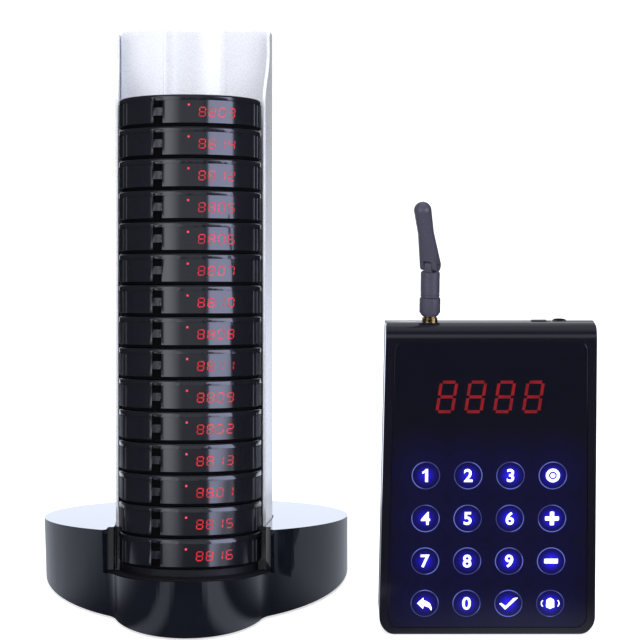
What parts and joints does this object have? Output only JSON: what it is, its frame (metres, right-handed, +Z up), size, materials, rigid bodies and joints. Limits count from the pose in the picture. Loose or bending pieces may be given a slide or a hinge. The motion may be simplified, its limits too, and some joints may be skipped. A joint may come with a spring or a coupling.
{
  "type": "guest pager system",
  "caption": "Charging tower holding a leaning stack of round guest pagers with red number windows, beside a standing keypad console with touch keys, digit display and swivel antenna.",
  "frame": {"origin": "middle of the footprint of tower and console, on the counter", "axes": "+Z up, -Y towards the front with the pager windows and the keypad, +X towards the console"},
  "size_m": [0.3426, 0.219, 0.3471],
  "materials": {
    "tower_gloss": "high gloss black",
    "black_plastic": "fine texture",
    "rubber_black": "matt",
    "screw_steel": "zinc plated",
    "dock_matt": "matt black",
    "contact_gold": "gold plated, bright",
    "circuit_board": "green laminate",
    "inlet_black": "satin",
    "column_silver": "satin silver paint",
    "pager_body": "satin black",
    "pager_gloss": "high gloss, smoked",
    "cell_can": "plain foil",
    "console_gloss": "gloss black",
    "touch_overlay": "gloss, smoked blue-black",
    "light_guide": "milky",
    "display_red": "smoked red",
    "pad_copper": "tinned copper",
    "antenna_satin": "satin, grey violet"
  },
  "bodies": {
    "tower": {"base_shell": "tower_gloss", "base_plate": "black_plastic", "base_feet": "rubber_black", "base_screws": "screw_steel", "dock_insert": "dock_matt", "dock_contacts": "contact_gold", "charge_board": "circuit_board", "tower_power_jack": "inlet_black", "column_panel": "column_silver", "column_wing_left": "column_silver", "column_wing_right": "column_silver", "column_screws": "screw_steel"},
    "pager_01": {"pager_01_case": "pager_body", "pager_01_cover": "pager_gloss"},
    "pager_02": {"pager_02_case": "pager_body", "pager_02_cover": "pager_gloss"},
    "pager_03": {"pager_03_case": "pager_body", "pager_03_cover": "pager_gloss"},
    "pager_04": {"pager_04_case": "pager_body", "pager_04_cover": "pager_gloss"},
    "pager_05": {"pager_05_case": "pager_body", "pager_05_cover": "pager_gloss"},
    "pager_06": {"pager_06_case": "pager_body", "pager_06_cover": "pager_gloss"},
    "pager_07": {"pager_07_case": "pager_body", "pager_07_cover": "pager_gloss"},
    "pager_08": {"pager_08_case": "pager_body", "pager_08_cover": "pager_gloss"},
    "pager_09": {"pager_09_case": "pager_body", "pager_09_cover": "pager_gloss"},
    "pager_10": {"pager_10_case": "pager_body", "pager_10_cover": "pager_gloss"},
    "pager_11": {"pager_11_case": "pager_body", "pager_11_cover": "pager_gloss"},
    "pager_12": {"pager_12_case": "pager_body", "pager_12_cover": "pager_gloss"},
    "pager_13": {"pager_13_case": "pager_body", "pager_13_cover": "pager_gloss"},
    "pager_14": {"pager_14_case": "pager_body", "pager_14_cover": "pager_gloss"},
    "pager_15": {"pager_15_case": "pager_body", "pager_15_cover": "pager_gloss", "pager_15_board": "circuit_board", "pager_15_battery": "cell_can"},
    "console": {"console_front_case": "console_gloss", "console_back_case": "black_plastic", "console_overlay": "touch_overlay", "key_light_guide": "light_guide", "digit_display": "display_red", "console_board": "circuit_board", "touch_pads": "pad_copper", "console_power_jack": "inlet_black", "console_feet": "rubber_black", "console_screws": "screw_steel", "antenna_socket": "contact_gold"},
    "power_switch": {"console_power_switch": "inlet_black"},
    "antenna_nut": {"antenna_nut": "antenna_satin"},
    "antenna_barrel": {"antenna_barrel": "antenna_satin"},
    "antenna_blade": {"antenna_paddle": "antenna_satin", "antenna_pin": "screw_steel"}
  },
  "joints": [
    {"name": "pager_01_lift", "type": "slide", "parent": "tower", "child": "pager_01", "axis": [0, 0.2147, 0.9767], "range_m": [0, 0.06]},
    {"name": "pager_02_lift", "type": "slide", "parent": "pager_01", "child": "pager_02", "axis": [0, 0.2147, 0.9767], "range_m": [0, 0.06]},
    {"name": "pager_03_lift", "type": "slide", "parent": "pager_02", "child": "pager_03", "axis": [0, 0.2147, 0.9767], "range_m": [0, 0.06]},
    {"name": "pager_04_lift", "type": "slide", "parent": "pager_03", "child": "pager_04", "axis": [0, 0.2147, 0.9767], "range_m": [0, 0.06]},
    {"name": "pager_05_lift", "type": "slide", "parent": "pager_04", "child": "pager_05", "axis": [0, 0.2147, 0.9767], "range_m": [0, 0.06]},
    {"name": "pager_06_lift", "type": "slide", "parent": "pager_05", "child": "pager_06", "axis": [0, 0.2147, 0.9767], "range_m": [0, 0.06]},
    {"name": "pager_07_lift", "type": "slide", "parent": "pager_06", "child": "pager_07", "axis": [0, 0.2147, 0.9767], "range_m": [0, 0.06]},
    {"name": "pager_08_lift", "type": "slide", "parent": "pager_07", "child": "pager_08", "axis": [0, 0.2147, 0.9767], "range_m": [0, 0.06]},
    {"name": "pager_09_lift", "type": "slide", "parent": "pager_08", "child": "pager_09", "axis": [0, 0.2147, 0.9767], "range_m": [0, 0.06]},
    {"name": "pager_10_lift", "type": "slide", "parent": "pager_09", "child": "pager_10", "axis": [0, 0.2147, 0.9767], "range_m": [0, 0.06]},
    {"name": "pager_11_lift", "type": "slide", "parent": "pager_10", "child": "pager_11", "axis": [0, 0.2147, 0.9767], "range_m": [0, 0.06]},
    {"name": "pager_12_lift", "type": "slide", "parent": "pager_11", "child": "pager_12", "axis": [0, 0.2147, 0.9767], "range_m": [0, 0.06]},
    {"name": "pager_13_lift", "type": "slide", "parent": "pager_12", "child": "pager_13", "axis": [0, 0.2147, 0.9767], "range_m": [0, 0.06]},
    {"name": "pager_14_lift", "type": "slide", "parent": "pager_13", "child": "pager_14", "axis": [0, 0.2147, 0.9767], "range_m": [0, 0.06]},
    {"name": "pager_15_lift", "type": "slide", "parent": "pager_14", "child": "pager_15", "axis": [0, 0.2147, 0.9767], "range_m": [0, 0.06]},
    {"name": "console_lift", "type": "slide", "parent": "tower", "child": "console", "axis": [0, 0, 1], "range_m": [0, 0.1]},
    {"name": "power_switch_slide", "type": "slide", "parent": "console", "child": "power_switch", "axis": [1, 0, 0], "range_m": [0, 0.002]},
    {"name": "antenna_nut_turn", "type": "hinge", "parent": "console", "child": "antenna_nut", "pos_m": [0.0713, -0.07804, 0.1976], "axis": [0, 0, 1], "continuous": true},
    {"name": "antenna_swivel", "type": "hinge", "parent": "console", "child": "antenna_barrel", "pos_m": [0.0713, -0.07804, 0.211], "axis": [0, 0, 1], "continuous": true},
    {"name": "antenna_fold", "type": "hinge", "parent": "antenna_barrel", "child": "antenna_blade", "pos_m": [0.0713, -0.07804, 0.222], "axis": [0.8746, -0.4848, 0], "range_deg": [-18, 72]}
  ]
}
